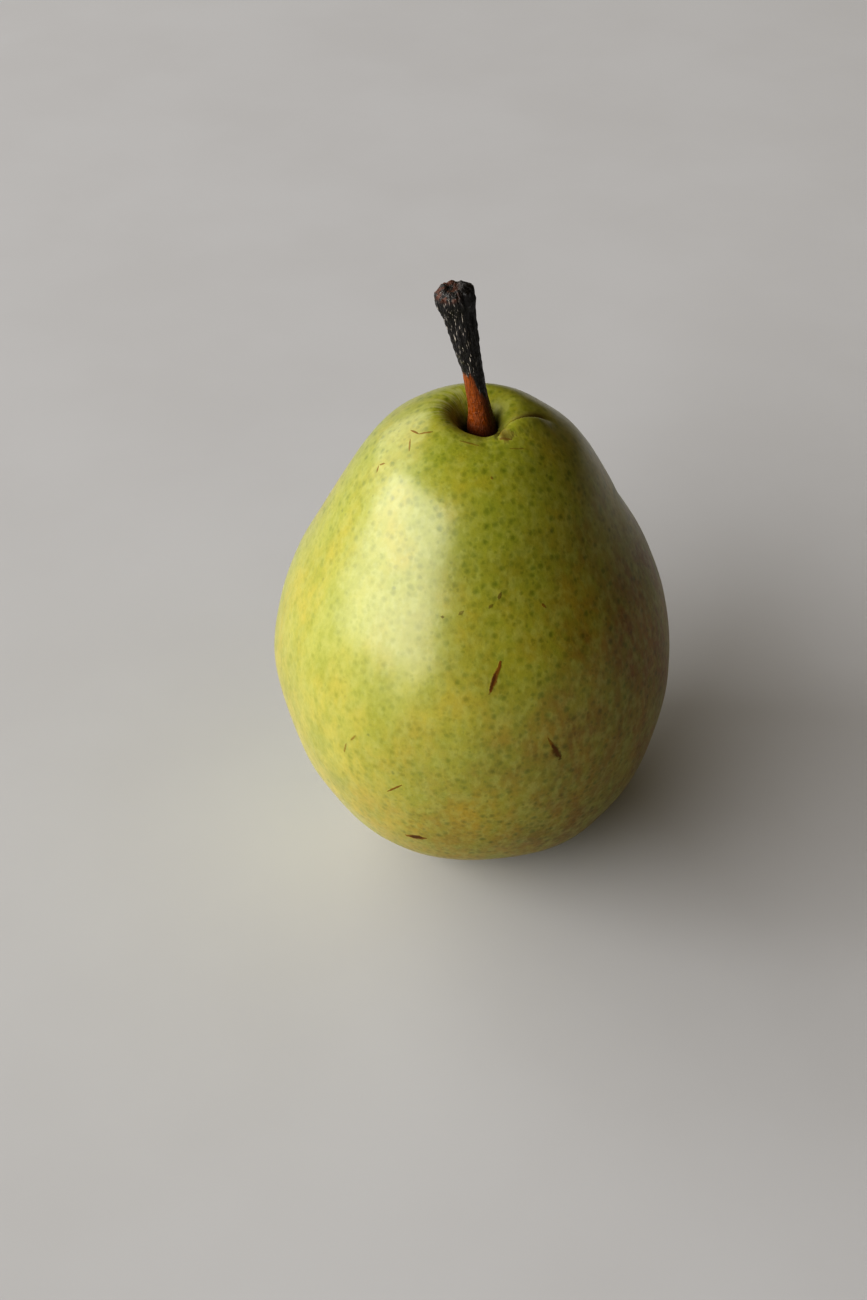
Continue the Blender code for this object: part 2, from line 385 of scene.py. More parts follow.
def respace(line, step_at):
    """Points along a line, with a step between neighbours that step_at gives for each place."""
    pieces = np.linalg.norm(np.diff(line, axis=0), axis=1)
    middles = (line[1:] + line[:-1]) / 2
    travelled = np.concatenate([[0], np.cumsum(pieces / step_at(middles))])
    stops = np.linspace(0, travelled[-1], int(round(travelled[-1])) + 1)
    return np.column_stack([np.interp(stops, travelled, column) for column in line.T])


def evenly(step):
    """For respace: the same step everywhere."""
    return lambda places: np.full(len(places), step)


def bell(distance, spread):
    """1 at no distance, falling smoothly to nothing at about twice the spread."""
    return np.exp(-((distance / spread) ** 2))


def smooth_step(value, start, end):
    """0 where value is at start, 1 where it is at end, and smooth between them."""
    t = np.clip((value - start) / (end - start), 0, 1)
    return t * t * (3 - 2 * t)


def cloud_at(points, size, seed):
    """Smooth noise from about -1 to 1 at each of many points, with bumps of that size."""
    offset = Vector((seed * 17.3, seed * 5.1, seed * 9.7))
    flat = points.reshape(-1, 3) / size
    values = [noise.noise(Vector(point) + offset) for point in flat]
    return np.array(values).reshape(points.shape[:-1])


def new_object(name, points, faces):
    """A smooth mesh object in the scene."""
    mesh = bpy.data.meshes.new(name)
    mesh.from_pydata(points, [], faces)
    mesh.validate()
    mesh.shade_smooth()
    made = bpy.data.objects.new(name, mesh)
    bpy.context.scene.collection.objects.link(made)
    return made


def loft(name, rings, first_pole, last_pole):
    """A closed mesh object from an array of rings, with one point closing each end."""
    rows, sides = rings.shape[:2]
    number = np.arange(rows * sides).reshape(rows, sides)
    ahead = np.roll(number, -1, axis=1)
    quads = np.stack([number[:-1], ahead[:-1], ahead[1:], number[1:]], axis=-1)
    faces = quads.reshape(-1, 4).tolist()
    first, last = rows * sides, rows * sides + 1
    faces += [[ahead[0, i], number[0, i], first] for i in range(sides)]
    faces += [[number[-1, i], ahead[-1, i], last] for i in range(sides)]
    points = rings.reshape(-1, 3).tolist() + [tuple(first_pole), tuple(last_pole)]
    return new_object(name, points, faces)


def place_on_frame(piece, material, slot, *nodes):
    """Gives a piece its material, hangs it under the root body and hides the frame's parts that it
    replaces.
    """
    piece.data.materials.append(material)
    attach(piece, "root")
    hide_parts(*nodes)
    print(piece.name, "has", len(piece.data.polygons), "faces")


# %% [markdown]
# ## The fruit's outline
#
# The outline is half a section through the core line, as shares of half the width and of the
# height. It starts in the calyx pit, goes out over the rim that the fruit stands on, up the belly
# and over the shoulder, and ends in the cavity under the stem.

# %% Outline of the fruit
CALYX_PIT = [(0.0, 0.089), (0.048, 0.087), (0.077, 0.079), (0.085, 0.065), (0.098, 0.052)]
CALYX_BASIN = [(0.140, 0.041), (0.195, 0.027), (0.250, 0.0091)]
RESTING_RIM = [(0.285, 0.0005), (0.325, -0.0022), (0.370, 0.0016), (0.427, 0.0091)]
BELLY = [(0.501, 0.023), (0.575, 0.042), (0.649, 0.065), (0.720, 0.092), (0.784, 0.121)]
BELLY += [(0.835, 0.151), (0.905, 0.214), (0.952, 0.28), (0.987, 0.35), (1.000, 0.424)]
BELLY += [(0.989, 0.494), (0.953, 0.565), (0.889, 0.639)]
NECK = [(0.800, 0.711), (0.694, 0.789), (0.635, 0.832), (0.568, 0.879), (0.484, 0.926)]
SHOULDER = [(0.385, 0.961), (0.303, 0.983), (0.232, 0.997), (0.180, 1.0), (0.137, 0.993)]
STEM_CAVITY = [(0.104, 0.978), (0.075, 0.962), (0.037, 0.954), (0.0, 0.954)]
OUTLINE = CALYX_PIT + CALYX_BASIN + RESTING_RIM + BELLY + NECK + SHOULDER + STEM_CAVITY

half_width = (fruit_high.x - fruit_low.x) / 2 / MM
full_height = fruit_high.z / MM
outline = smooth_line(OUTLINE) * (half_width, full_height)


def ring_step(places):
    """Wanted distance between rings: fine in both cavities, wide on the belly."""
    radius, height = places.T
    near_stem = bell(np.hypot(radius, height - full_height), 15.0)
    near_calyx = bell(np.hypot(radius, height), 12.0)
    return 0.92 - 0.64 * near_stem - 0.45 * near_calyx


outline = respace(outline, ring_step)
width_and_height = round(half_width * 2, 1), round(full_height, 1)
print("outline:", len(outline), "rings, width and height in mm:", width_and_height)

# %% [markdown]
# ## The fruit's skin
#
# Turned on a lathe, the outline would be too perfect. A grown fruit leans, it isn't quite round,
# its rim swells over each of the five seed chambers, and the lip of its stem cavity dips in front.
# Those are part of the measured frame. Dents, swellings and a fold follow after them. Real
# geometry is better than a bump map here, because the light's reflection follows every push.

# %% Grow the skin
SIDES = 360
OUT_OF_ROUND = [(2, 0.008), (3, 0.006), (4, 0.003)]  # (waves round the fruit, share of the radius)
# Lengths in mm from here on.
LEAN = 0.5
LOBES, LOBE_HEIGHT, LOBE_RADIUS, LOBE_SPREAD = 5, 0.30, 12.3, 3.6
LIP_DIP_PLACE, LIP_DIP_DEPTH, LIP_DIP_SPREAD = (0.6, -6.5), 1.3, 6.0


def skin_grid(radius, height, turn):
    """Places in mm on the plain skin, which is the shape of the frame's own solid."""
    wobble = sum(size * np.sin(waves * turn) for waves, size in OUT_OF_ROUND)
    reach = np.hypot(radius - LOBE_RADIUS, height) / LOBE_SPREAD
    lobe = LOBE_HEIGHT * bell(reach, 1.0) * np.cos(LOBES * turn)
    lean = LEAN * np.sin(2 * np.pi * height / full_height)
    out = radius * (1 + wobble)
    x, y = out * np.cos(turn) + lean, out * np.sin(turn)
    away = np.hypot(x - LIP_DIP_PLACE[0], y - LIP_DIP_PLACE[1])
    dip = LIP_DIP_DEPTH * bell(away, LIP_DIP_SPREAD) * (height > full_height / 2)
    return np.stack([x, y, np.maximum(height - dip - lobe, 0.0) + 0 * x], axis=-1)


def outward(grid):
    """Unit normals of a grid of rings."""
    around = np.roll(grid, -1, axis=1) - np.roll(grid, 1, axis=1)
    up = np.gradient(grid, axis=0)
    normal = np.cross(around, up)
    return normal / np.maximum(np.linalg.norm(normal, axis=-1, keepdims=True), 1e-9)


turns = np.linspace(0, 2 * np.pi, SIDES, endpoint=False)[None, :]
skin = skin_grid(outline[1:-1, 0:1], outline[1:-1, 1:2], turns)
print("skin grid", skin.shape[:2])


def on_skin(turn_degrees, height):
    """The place in mm on the outer skin at that height, turned from +X."""
    outer = outline[np.argmin(outline[: len(outline) // 2, 1]) : np.argmax(outline[:, 1]) + 1]
    radius = np.interp(height, outer[:, 1], outer[:, 0])
    return skin_grid(np.array(radius), np.array(float(height)), math.radians(turn_degrees))


# %% [markdown]
# ## Dents and swellings
#
# Each entry says where the skin is pushed, how wide and how far. The right side is pushed in at
# the shoulder and the waist and swells low down, while the left swells at the belly and is pushed
# in under it, so the two halves of this pear differ. Over them goes a faint waviness, as flesh
# has everywhere.

# %% Push the skin
# (turn in degrees, then height, spread and push outwards in mm)
PUSHES = [
    (17, 70, 5.0, -0.50),
    (3, 46, 10.0, -0.55),
    (10, 58, 6.0, -0.25),
    (-32, 19, 11.0, 0.55),
    (-60, 12, 8.0, 0.25),
    (-145, 13, 10.0, -0.60),
    (-173, 41, 8.0, 0.60),
    (164, 66, 11.0, -0.35),
    (-75, 84, 8.0, -0.25),
    (-58, 62, 11.0, 0.35),
    (-52, 13, 7.0, 0.28),
    (38, 88, 6.0, -0.35),
    (158, 78, 12.0, -0.18),
    (-84, 9, 8.0, -0.22),
    (-115, 58, 12.0, 0.25),
    (95, 60, 14.0, -0.35),
    (60, 30, 12.0, 0.30),
]
WAVES = [(19.0, 0.16), (8.0, 0.08), (3.5, 0.025)]  # (size of the waves, height), in mm

push = np.zeros(skin.shape[:2])
for turn, height, spread, amount in PUSHES:
    push += amount * bell(np.linalg.norm(skin - on_skin(turn, height), axis=-1), spread)
# The waves start above the rim, which has to stay flat where it touches the table.
above_rim = np.clip((skin[..., 2] - 2.0) / 8.0, 0, 1)
for seed, (size, amount) in enumerate(WAVES):
    push += amount * cloud_at(skin, size, seed) * above_rim
skin = skin + push[..., None] * outward(skin)
print("skin is pushed from", round(push.min(), 2), "to", round(push.max(), 2), "mm")

# %% [markdown]
# ## The fold and the socket
#
# Beside the stem, the flesh on the right has grown over itself: a lip of flesh bulges in front of
# a narrow crease. The crease is a path seen from above. The skin sinks on the path, swells in
# front of it and drops behind it. Cork has stained the crease, and a knob in front of its near
# end. Behind the crease the stain is widened into painted shade, where the skin drops away. How
# deep the stain and the painted shade are at each point is kept for the material. Round the stem
# the skin turns down into the socket.

# %% Fold the flesh beside the stem
CREASE = [(4.6, -9.0), (3.5, -7.6), (3.2, -6.1), (3.8, -5.0), (5.1, -3.7)]
CREASE += [(6.9, -2.5), (8.8, -1.5), (10.5, -0.6), (12.1, 0.0), (13.8, 0.4)]
CREASE_WIDTH, CREASE_DEPTH = 0.48, 1.00
LIP_WIDTH, LIP_SWELL = 1.6, 1.15
DROP_WIDTH, DROP_DEPTH = 2.0, 0.90
# Behind the crease the stain is widened into painted shade.
STAIN_AND_SHADE_BEHIND, STAIN_IN_FRONT = 1.9, 0.5
KNOB_AWAY, KNOB_SPREAD, KNOB_STAIN = 0.9, 0.7, 0.55
STEM_FOOT = (0.55, 0.05)
SOCKET_RADIUS, SOCKET_DEPTH = 3.3, 2.2
SOCKET_FLOOR = outline[-1, 1]


def from_path(points, path):
    """For points in plan: distance to a path, side of it (+ is to its right), share along it."""
    nearest = np.full(points.shape[:-1], np.inf)
    side, share = np.zeros_like(nearest), np.zeros_like(nearest)
    for number, (start, end) in enumerate(zip(path, path[1:])):
        run = end - start
        t = np.clip(((points - start) @ run) / (run @ run), 0, 1)
        away = points - (start + t[..., None] * run)
        distance = np.linalg.norm(away, axis=-1)
        closer = distance < nearest
        nearest = np.where(closer, distance, nearest)
        side = np.where(closer, np.sign(away[..., 0] * run[1] - away[..., 1] * run[0]), side)
        share = np.where(closer, (number + t) / (len(path) - 1), share)
    return nearest, side, share


top = skin[..., 2] > 0.8 * full_height
crease_path = smooth_line(CREASE, 6)
distance, side, share = from_path(skin[..., :2], crease_path)
ends = smooth_step(share, 0.0, 0.5) * smooth_step(share, 1.0, 0.55)
ends = ends * smooth_step(distance, 6.0, 2.0)
in_front = np.where(side > 0, distance / LIP_WIDTH * np.exp(1 - distance / LIP_WIDTH), 0)
behind = bell(distance + np.where(side < 0, -DROP_WIDTH, DROP_WIDTH), DROP_WIDTH)
fold = LIP_SWELL * in_front - DROP_DEPTH * behind - CREASE_DEPTH * bell(distance, CREASE_WIDTH)
skin = skin + (top * ends * fold)[..., None] * outward(skin)

# The stain is cork along the crease, widened behind it into painted shade, where the skin drops
# away from the light.
stain_and_shade = smooth_step(share, 0.1, 0.4) * smooth_step(share, 1.0, 0.8)
stain_and_shade = stain_and_shade * bell(distance, np.where(side < 0, STAIN_AND_SHADE_BEHIND, STAIN_IN_FRONT))
knob = (side > 0) * smooth_step(share, 0.02, 0.12) * smooth_step(share, 0.5, 0.25)
knob = knob * bell(distance - KNOB_AWAY, KNOB_SPREAD)
crease_stain_and_shade = top * np.maximum(stain_and_shade, KNOB_STAIN * knob)

to_stem = np.hypot(skin[..., 0] - STEM_FOOT[0], skin[..., 1] - STEM_FOOT[1])
skin[..., 2] -= top * SOCKET_DEPTH * smooth_step(to_stem, SOCKET_RADIUS, SOCKET_RADIUS - 1.0)
skin[..., 2] = np.maximum(skin[..., 2], 0.0)
print("fold:", round(float((top * ends * fold).max()), 2), "mm proud")

# %% [markdown]
# ## Skin finish
#
# A ripe green pear is yellow-green with a waxy shine. The colour drifts: greener towards the
# stem and golden low down. The left is painted paler, and the gold low on the left paler still,
# as painted sheen on the side that faces the light. The right is olive to red-brown, a blush where
# the sun reached it, painted darker as shade on the side away from the light. Darker green pores
# dot it all over, painted fainter on the pale left, where the sheen would wash them out. Brown
# cork, called russet, has healed its scratches and lines its crease and cavity, and painted shade
# goes
# with it: a wide band behind the crease and a dark olive lining in the cavity. All of that is laid
# over a ground colour, layer by layer. The wax is worn on the right and low in front, and thin in
# the cavity, whose dull skin has pale rays. The light that goes a little way into the flesh comes
# from the shader's own subsurface.

# %% Colours of the skin
YELLOW_GREEN = (0.385, 0.37, 0.045)
# Pale green is a real cloud colour, and on the left it is painted sheen.
PALE_GREEN_AND_SHEEN = (0.39, 0.40, 0.120)
LEAF_GREEN = (0.265, 0.285, 0.028)
GOLD = (0.48, 0.335, 0.022)
# Pale gold is gold that is painted paler as light, where the light falls on the lower left.
PALE_GOLD_LIGHT = (0.56, 0.49, 0.085)
# Olive and blush are real colours of the skin, and on the right they are painted darker as shade.
OLIVE_AND_SHADE = (0.200, 0.132, 0.005)
BLUSH_AND_SHADE = (0.215, 0.078, 0.004)
GRAIN_TINT = (0.70, 0.78, 0.58)
PORE_TINT = (0.55, 0.63, 0.26)
CORK_GREEN = (0.10, 0.13, 0.025)
RUSSET = (0.170, 0.055, 0.005)
DARK_RUSSET = (0.070, 0.025, 0.004)
CORK_BROWN = (0.15, 0.095, 0.020)
# Crease brown is cork, and behind the crease it is painted shade.
CREASE_BROWN_AND_SHADE = (0.075, 0.043, 0.007)
# Cavity olive is partly cork and partly painted shade in the cavity round the stem.
CAVITY_OLIVE_AND_SHADE = (0.105, 0.090, 0.028)
DUSTY_GREEN = (0.40, 0.41, 0.20)

# (size in mm, colour, strength): soft clouds of another colour, each laid over the one before
CLOUDS = [(9.0, GOLD, 0.28), (6.0, LEAF_GREEN, 0.45), (2.4, LEAF_GREEN, 0.42)]
CLOUDS += [(1.5, PALE_GREEN_AND_SHEEN, 0.35)]

# (turn in degrees, height and radius in mm, colour, strength): broad patches of another colour
PATCHES = [
    # Painted sheen: the left, which faces the light, is painted paler.
    (-150, 48, 46, PALE_GREEN_AND_SHEEN, 0.60),
    (-145, 90, 24, LEAF_GREEN, 0.85),
    (-90, 92, 36, LEAF_GREEN, 0.80),
    (-68, 78, 20, LEAF_GREEN, 0.50),
    (-165, 36, 26, GOLD, 0.35),
    (-135, 78, 34, LEAF_GREEN, 0.35),
    (-116, 6, 38, GOLD, 0.95),
    # Painted light: gold made paler low on the left, the side that faces the light.
    (-140, 20, 28, PALE_GOLD_LIGHT, 0.65),
    # Olive and blush on the right and low in front: a real blush, painted darker as shade on the
    # side away from the light.
    (-70, 22, 38, OLIVE_AND_SHADE, 0.95),
    (-95, 2, 30, GOLD, 0.55),
    (-30, 55, 44, OLIVE_AND_SHADE, 0.90),
    (60, 50, 40, LEAF_GREEN, 0.70),
    (150, 60, 36, YELLOW_GREEN, 0.60),
    (-86, 30, 12, GOLD, 0.50),
    (-163, 62, 9, GOLD, 0.25),
    (-150, 74, 7, GOLD, 0.15),
    # Painted shade too: the blush is darker on the side away from the light.
    (-12, 42, 40, BLUSH_AND_SHADE, 0.90),
    (-55, 12, 24, BLUSH_AND_SHADE, 0.25),
]

# (turn and height of both ends, width in mm, colour, strength): healed scratches
SCARS = [
    ((-82.6, 63.1), (-86.4, 58.0), 1.25, RUSSET, 0.9),
    ((-84.0, 61.6), (-86.5, 58.2), 0.85, DARK_RUSSET, 0.8),
    ((-70.8, 48.3), (-67.5, 43.4), 1.0, RUSSET, 0.75),
    ((-69.5, 46.3), (-67.4, 43.0), 1.7, DARK_RUSSET, 0.7),
    ((-112.6, 20.3), (-106.3, 21.3), 2.0, RUSSET, 0.8),
    ((-111.2, 20.5), (-107.8, 21.2), 1.7, DARK_RUSSET, 0.8),
    ((-163.0, 91.6), (-153.0, 92.0), 0.5, RUSSET, 0.8),
    ((-153.0, 92.0), (-144.0, 92.9), 0.5, RUSSET, 0.7),
    ((-154.8, 91.1), (-146.3, 90.2), 0.5, RUSSET, 0.6),
    ((-66.0, 93.5), (-54.0, 93.0), 0.7, RUSSET, 0.7),
    ((-60.0, 93.6), (-40.0, 93.6), 0.8, RUSSET, 0.6),
    ((-62.0, 93.5), (-50.0, 93.3), 4.2, CORK_BROWN, 0.50),
    ((-61.0, 92.3), (-43.0, 91.1), 0.5, RUSSET, 0.5),
    ((-112.0, 93.3), (-90.0, 93.2), 0.5, RUSSET, 0.5),
    ((-155.8, 85.7), (-158.2, 86.6), 0.5, RUSSET, 0.7),
    ((-158.2, 86.6), (-155.0, 87.4), 0.5, RUSSET, 0.7),
    ((-129.7, 39.0), (-128.0, 42.5), 0.7, RUSSET, 0.6),
    ((-127.0, 43.0), (-124.8, 45.2), 0.7, RUSSET, 0.6),
    ((-116.0, 33.8), (-111.4, 36.8), 0.55, RUSSET, 0.8),
    ((-81.0, 73.6), (-82.0, 72.6), 0.8, DARK_RUSSET, 0.6),
    ((-84.2, 71.9), (-85.5, 71.4), 0.7, DARK_RUSSET, 0.5),
    ((-66.2, 70.7), (-65.2, 70.0), 0.7, RUSSET, 0.7),
    ((-96.0, 70.4), (-94.6, 70.9), 0.8, DARK_RUSSET, 0.45),
    ((-102.0, 69.8), (-101.2, 69.8), 0.7, DARK_RUSSET, 0.6),
    ((-82.2, 89.8), (-81.2, 89.4), 0.7, RUSSET, 0.6),
]
print(len(PATCHES), "patches of colour and", len(SCARS), "scratches")


# %% Ground colour and pores
PATCH_EDGE_SIZE = 11.0
GRAIN_SIZE = 0.55
CLOUD_SHIFT = (31.0, 17.0, 53.0)  # keeps one cloud layer from following another
SMALL_PORES = {"Spacing": 1.10, "Size": 0.55, "Faint": 0.20}
LARGE_PORES = {"Spacing": 1.60, "Size": 0.92, "Faint": 0.10}
CORK_PORES = {"Spacing": 4.6, "Size": 0.60, "Faint": 0.45}
# The palest place is painted sheen, where the light falls on the left.
PAINTED_SHEEN_SPOT = (-145, 52)  # turn and height of the palest place


def ground_colour(tree, place):
    """Broad ragged patches, soft clouds and a fine grain. Gives the colour and the grain."""
    colour = YELLOW_GREEN
    edge = cloudy(tree, place, PATCH_EDGE_SIZE)
    for turn, height, radius, tint, strength in PATCHES:
        distance = vector_sums(tree, "DISTANCE", place, tuple(on_skin(turn, height)))
        ragged = plus(tree, distance, times(tree, edge, 0.25 * radius))
        amount = fade(tree, ragged, radius * 1.25, radius * 0.25, 0.0, strength)
        colour = lay_over(tree, amount, colour, tint)
    # The clouds are drawn out a little lengthwise, as the fruit grew.
    grown = vector_sums(tree, "MULTIPLY", place, (1.0, 1.0, 0.6))
    for size, tint, amount in CLOUDS:
        cloud = cloudy(tree, grown, size, 4.0, 0.42, 0.68)
        grown = vector_sums(tree, "ADD", grown, CLOUD_SHIFT)
        colour = lay_over(tree, times(tree, cloud, amount), colour, tint)
    grain = cloudy(tree, grown, GRAIN_SIZE, 3.0)
    amount = times(tree, grain, 0.22)
    return lay_over(tree, amount, colour, GRAIN_TINT, "MULTIPLY"), grain


def dot_skin(tree, place, colour):
    """Green pores of two sizes, and a few of cork. Gives the new colour and the green pores."""
    small = use(tree, pores, Place=place, **SMALL_PORES)["Mask"]
    large = use(tree, pores, Place=place, **LARGE_PORES)["Mask"]
    dots = sums(tree, "MAXIMUM", times(tree, small, 0.7), large)
    # Painted sheen: the pores fade near the lit left, as a highlight would wash them out.
    to_painted_sheen = vector_sums(tree, "DISTANCE", place, tuple(on_skin(*PAINTED_SHEEN_SPOT)))
    dots = times(tree, dots, fade(tree, to_painted_sheen, 12.0, 48.0, 0.45, 1.0))
    colour = lay_over(tree, dots, colour, PORE_TINT, "MULTIPLY")
    corky = use(tree, pores, Place=place, **CORK_PORES)["Mask"]
    return lay_over(tree, times(tree, corky, 0.55), colour, CORK_GREEN), dots


# %% Cork and wax
RAYS_CENTRE = (-6.0, 3.5, 92.0)  # the rays show behind the stem, on the left
RAYS_ROUND = 8.0  # mm of noise for each radian round the stem
WAX = 0.95
# (turn, height, radius in mm, share of the wax that is missing there)
WORN_SIDES = [(-12, 42, 50, 0.60), (-72, 12, 38, 0.45)]


def heal_scratches(tree, place, colour):
    """Lays each scratch over the colour. Gives the new colour and where cork is."""
    cork = 0.0
    for start, end, width, tint, strength in SCARS:
        feeds = {"Start": tuple(on_skin(*start)), "End": tuple(on_skin(*end)), "Width": width}
        mark = use(tree, stroke, Place=place, Wander=0.5 * width, **feeds)["Mask"]
        mark = times(tree, mark, strength)
        colour = lay_over(tree, mark, colour, tint)
        cork = sums(tree, "MAXIMUM", cork, mark)
    return colour, cork


def line_cavity(tree, place, colour, cork):
    """Brown crease with painted shade behind it, pale rays, and a lining round the stem that is
    partly cork and partly painted shade. Gives colour, cork and the dull skin.
    """
    crease = add(tree, "Attribute", attribute_name="crease").outputs["Fac"]
    # Brown cork in the crease, with painted shade in the wide band behind it.
    colour = lay_over(tree, times(tree, crease, 0.95), colour, CREASE_BROWN_AND_SHADE)
    from_stem = vector_sums(tree, "DISTANCE", place, (*STEM_FOOT, SOCKET_FLOOR))
    dull = fade(tree, from_stem, 12.0, 7.0)

    parts = add(tree, "SeparateXYZ", {0: place}).outputs
    turn = sums(tree, "ARCTAN2", parts[0], times(tree, parts[1], -1.0))
    feeds = {0: times(tree, turn, RAYS_ROUND), 2: from_stem}
    fan = add(tree, "CombineXYZ", feeds).outputs[0]
    rays = use(tree, fibres, Place=fan, Along=6.0, Across=0.45, From=0.46, To=0.62)["Mask"]
    to_rays = vector_sums(tree, "DISTANCE", place, RAYS_CENTRE)
    rays = times(tree, rays, fade(tree, to_rays, 9.0, 3.0, 0.08, 0.7))
    rays = times(tree, rays, fade(tree, from_stem, 12.0, 8.0))
    colour = lay_over(tree, rays, colour, DUSTY_GREEN)

    # The dark olive lining round the stem is partly cork and partly painted shade in the cavity.
    edge = cloudy(tree, place, 1.5)
    lining_and_shade = fade(tree, plus(tree, from_stem, edge), 6.0, 3.4, 0.0, 0.75)
    colour = lay_over(tree, lining_and_shade, colour, CAVITY_OLIVE_AND_SHADE)
    cork = sums(tree, "MAXIMUM", cork, sums(tree, "MAXIMUM", crease, lining_and_shade))
    return colour, cork, dull


def wax_cover(tree, place, cork, dull):
    """The weight of the wax: none on cork, little in the cavity and less where it is worn."""
    wax = times(tree, WAX, sums(tree, "SUBTRACT", 1.0, cork))
    shiny = sums(tree, "SUBTRACT", 1.0, times(tree, dull, 0.8))
    wax = times(tree, wax, shiny)
    for turn, height, radius, missing in WORN_SIDES:
        distance = vector_sums(tree, "DISTANCE", place, tuple(on_skin(turn, height)))
        left = fade(tree, distance, radius, 0.3 * radius, 1.0, 1.0 - missing)
        wax = times(tree, wax, left)
    return wax


# %% Recipe for the skin
SKIN_ROUGHNESS, WAX_ROUGHNESS, WAX_IOR = 0.40, 0.31, 1.6
UNDER_WAX_SHINE = 0.15
FLESH_SHARE, FLESH_DEPTH, FLESH_REACH = 0.10, 1.2 * MM, (1.0, 0.9, 0.25)


def make_pear_skin():
    material, tree, shader, place = new_material("waxy_pear_skin")

    colour, grain = ground_colour(tree, place)
    colour, dots = dot_skin(tree, place, colour)
    colour, cork = heal_scratches(tree, place, colour)
    colour, cork, dull = line_cavity(tree, place, colour, cork)
    feed(tree, shader.inputs["Base Color"], colour)

    rough = SKIN_ROUGHNESS
    for mask, more in ((grain, 0.10), (cork, 0.25), (dull, 0.3)):
        rough = plus(tree, rough, times(tree, mask, more))
    feed(tree, shader.inputs["Roughness"], rough)
    feed(tree, shader.inputs["Coat Weight"], wax_cover(tree, place, cork, dull))
    shader.inputs["Coat Roughness"].default_value = WAX_ROUGHNESS
    shader.inputs["Coat IOR"].default_value = WAX_IOR
    shader.inputs["Specular IOR Level"].default_value = UNDER_WAX_SHINE
    shader.inputs["Subsurface Weight"].default_value = FLESH_SHARE
    shader.inputs["Subsurface Radius"].default_value = FLESH_REACH
    shader.inputs["Subsurface Scale"].default_value = FLESH_DEPTH

    # Heights in mm: a fine unevenness, sunken pores and raised cork.
    fine = cloudy(tree, place, 0.8, 3.0, 0.2, 0.8)
    height = 0.0
    for mask, lift in ((fine, 0.03), (dots, -0.03), (cork, 0.05)):
        height = plus(tree, height, times(tree, mask, lift))
    bump = add(tree, "Bump", {"Strength": 1.0, "Distance": MM, "Height": height})
    feed(tree, shader.inputs["Normal"], bump.outputs[0])
    return material


pear_skin = make_pear_skin()
pit_pole = np.array((0.0, 0.0, outline[0, 1]))
socket_pole = np.array((*STEM_FOOT, SOCKET_FLOOR - SOCKET_DEPTH))
fruit = loft("pear_fruit", skin * MM, pit_pole * MM, socket_pole * MM)
crease_mark = fruit.data.attributes.new("crease", "FLOAT", "POINT")
crease_mark.data.foreach_set("value", np.append(crease_stain_and_shade.ravel(), [0.0, 0.0]))
place_on_frame(fruit, pear_skin, "pear_skin", "fruit")

# %% [markdown]
# ## The stem
#
# The stem is wood. Its foot is still alive, smooth and orange-brown, and the rest has dried black,
# with ribs that run lengthwise and get deeper towards the swollen tip, where it broke off the
# branch. The loft follows the stem's middle line. The ribs are ridged noise wrapped round it,
# which gives forked, uneven ribs, where plain waves would look like a gear. Blisters roughen the
# lower part of the black.

# %% Shape the stem
STEM_LINE = [(1.3, 0.0, 85.0), (0.8, 0.0, 89.0), (0.25, 0.15, 93.5), (-0.45, 0.4, 97.5)]
STEM_LINE += [(-1.15, 0.6, 101.5), (-2.0, 0.8, 105.0), (-2.8, 0.95, 108.7), (-3.5, 1.1, 112.0)]
STEM_LINE += [(-4.05, 1.2, 114.3), (-4.35, 1.25, 116.1)]
STEM_RADII = [2.2, 2.75, 2.05, 1.8, 1.8, 2.1, 2.35, 2.7, 3.25, 3.15]
STEM_SIDES = 144
STEM_STEP = 0.16  # mm between rings
RIB_SIZE, FINE_RIB_SIZE = 0.36, 0.17  # shares of the stem's radius
RIB_TWIST = 0.04  # how fast the noise changes along the stem, for each mm
BLISTER_SIZE = 0.75  # mm


def stem_rings():
    """The stem's rings in mm, from its root to the rim of its broken tip."""
    shape = smooth_line([(*p, r) for p, r in zip(STEM_LINE, STEM_RADII)])
    shape = respace(shape, evenly(STEM_STEP))
    middle, radius = shape[:, :3], shape[:, 3]
    along = np.gradient(middle, axis=0)
    along /= np.linalg.norm(along, axis=1, keepdims=True)
    across = np.cross(along, (0.0, 1.0, 0.0))
    across /= np.linalg.norm(across, axis=1, keepdims=True)
    other = np.cross(along, across)
    turn = np.linspace(0, 2 * np.pi, STEM_SIDES, endpoint=False)
    spokes = np.cos(turn)[None, :, None] * across[:, None]
    spokes = spokes + np.sin(turn)[None, :, None] * other[:, None]
    return middle, radius, spokes, turn


middle, radius, spokes, turn = stem_rings()
wrapped = np.broadcast_arrays(np.cos(turn), np.sin(turn), middle[:, 2:3] * RIB_TWIST)
wrapped = np.stack(wrapped, axis=-1)
ridges = 1 - 2 * np.abs(cloud_at(wrapped, RIB_SIZE, 3))
fine_ridges = 1 - 2 * np.abs(cloud_at(wrapped * (1, 1, 1.6), FINE_RIB_SIZE, 4))
smooth_stem = middle[:, None] + radius[:, None, None] * spokes
blisters = cloud_at(smooth_stem * (1, 1, 0.7), BLISTER_SIZE, 5)
dryness = smooth_step(middle[:, 2], 95.0, 113.0)[:, None]
relief = (0.04 + 0.34 * dryness) * (ridges - 0.5) + (0.02 + 0.15 * dryness) * (fine_ridges - 0.4)
warty = smooth_step(middle[:, 2], 98.0, 101.0) * smooth_step(middle[:, 2], 111.0, 105.0)
relief += (0.04 + 0.16 * warty[:, None]) * np.sqrt(dryness) * blisters
stem_skin = middle[:, None] + (radius[:, None] + relief)[..., None] * spokes
print("stem:", stem_skin.shape[0], "rings, ribs up to", round(float(relief.max()), 2), "mm")

# %% [markdown]
# The broken tip is a rough, slightly hollow face. It closes the loft: each ring is drawn in
# towards the middle, and lifted and dropped by noise, so that it reads as torn wood.

